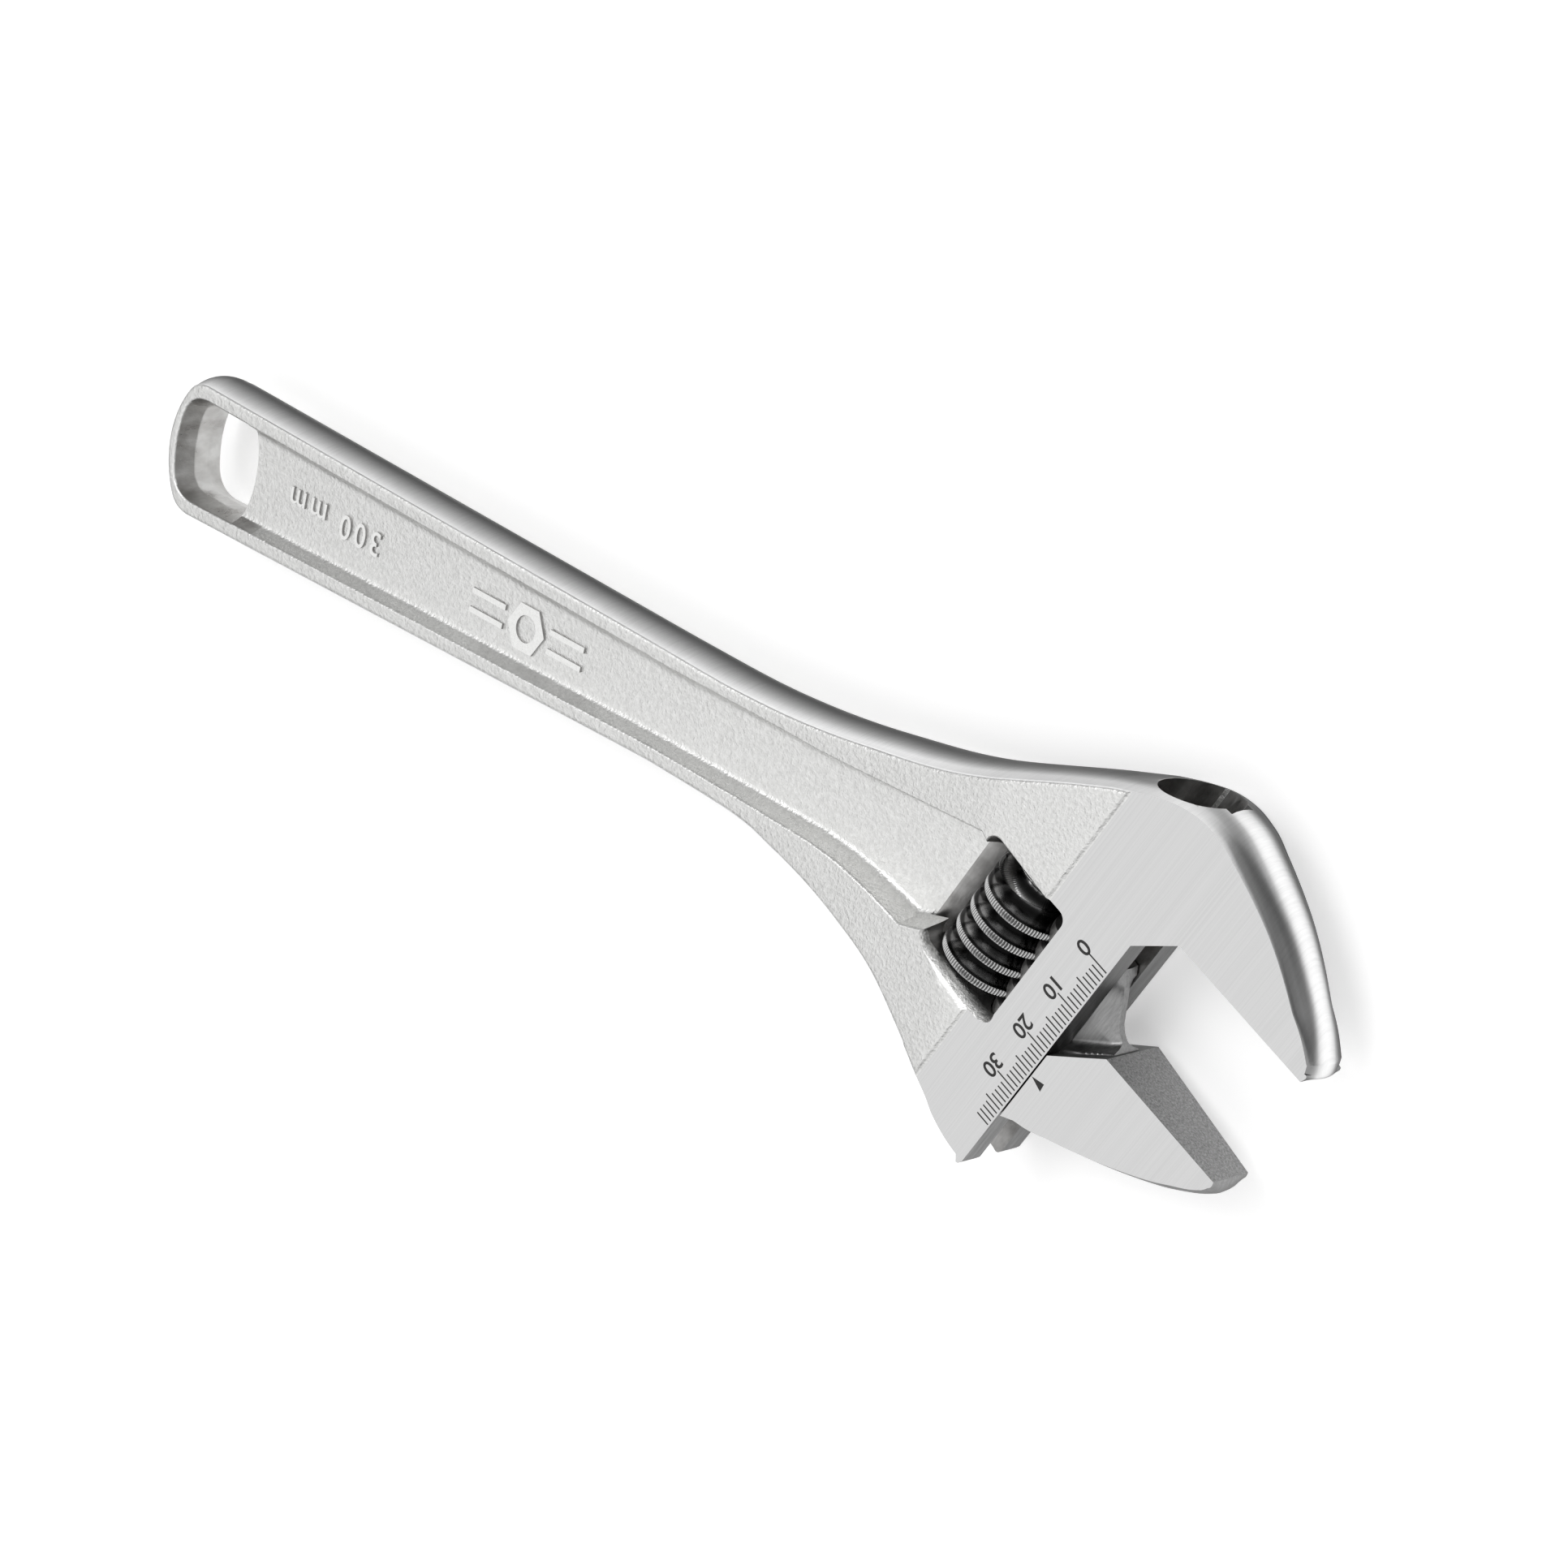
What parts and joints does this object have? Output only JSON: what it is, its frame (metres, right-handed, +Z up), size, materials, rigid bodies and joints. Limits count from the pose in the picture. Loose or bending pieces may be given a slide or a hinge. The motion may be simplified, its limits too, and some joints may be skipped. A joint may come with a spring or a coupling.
{
  "type": "adjustable wrench",
  "caption": "Adjustable wrench with a forged I-section handle, leaning head, sliding lower jaw with rack, knurled worm screw, hanging hole and a millimetre opening scale.",
  "frame": {"origin": "centre of the whole tool's bounding box in plan, on the surface it lies on", "axes": "+X along the handle towards the head, +Y towards the fixed jaw's side, +Z up out of the face with the scale; the tool lies flat"},
  "size_m": [0.3034, 0.0798, 0.0192],
  "materials": {
    "forged_chrome": "satin chrome plate over an orange-peel forged skin, ground and finely brushed on the head's two faces",
    "ground_steel": "ground and finely brushed across the jaw, darker matte on the working face",
    "polished_chrome": "bright polished thread flanks with straight-knurled crests",
    "plain_steel": "plain turned steel",
    "spring_steel": "drawn spring wire",
    "laser_mark": "near-black matte laser marking of the scale"
  },
  "bodies": {
    "body": {"body_forging": "forged_chrome", "worm_pin": "plain_steel", "worm_spring": "spring_steel"},
    "jaw": {"movable_jaw": "ground_steel"},
    "worm": {"worm_screw": "polished_chrome"}
  },
  "joints": [
    {"name": "worm_turn", "type": "hinge", "parent": "body", "child": "worm", "pos_m": [0.08488, 0.00219, 0.0096], "axis": [-0.3971, -0.9178, 0], "range_deg": [-998, 1921]},
    {"name": "jaw_slide", "type": "slide", "parent": "body", "child": "jaw", "axis": [-0.3971, -0.9178, 0], "range_m": [-0.0256, 0.0133]}
  ],
  "couplings": [
    {"joint": "worm_turn", "follows": "jaw_slide", "rad_per_m": -1309}
  ]
}
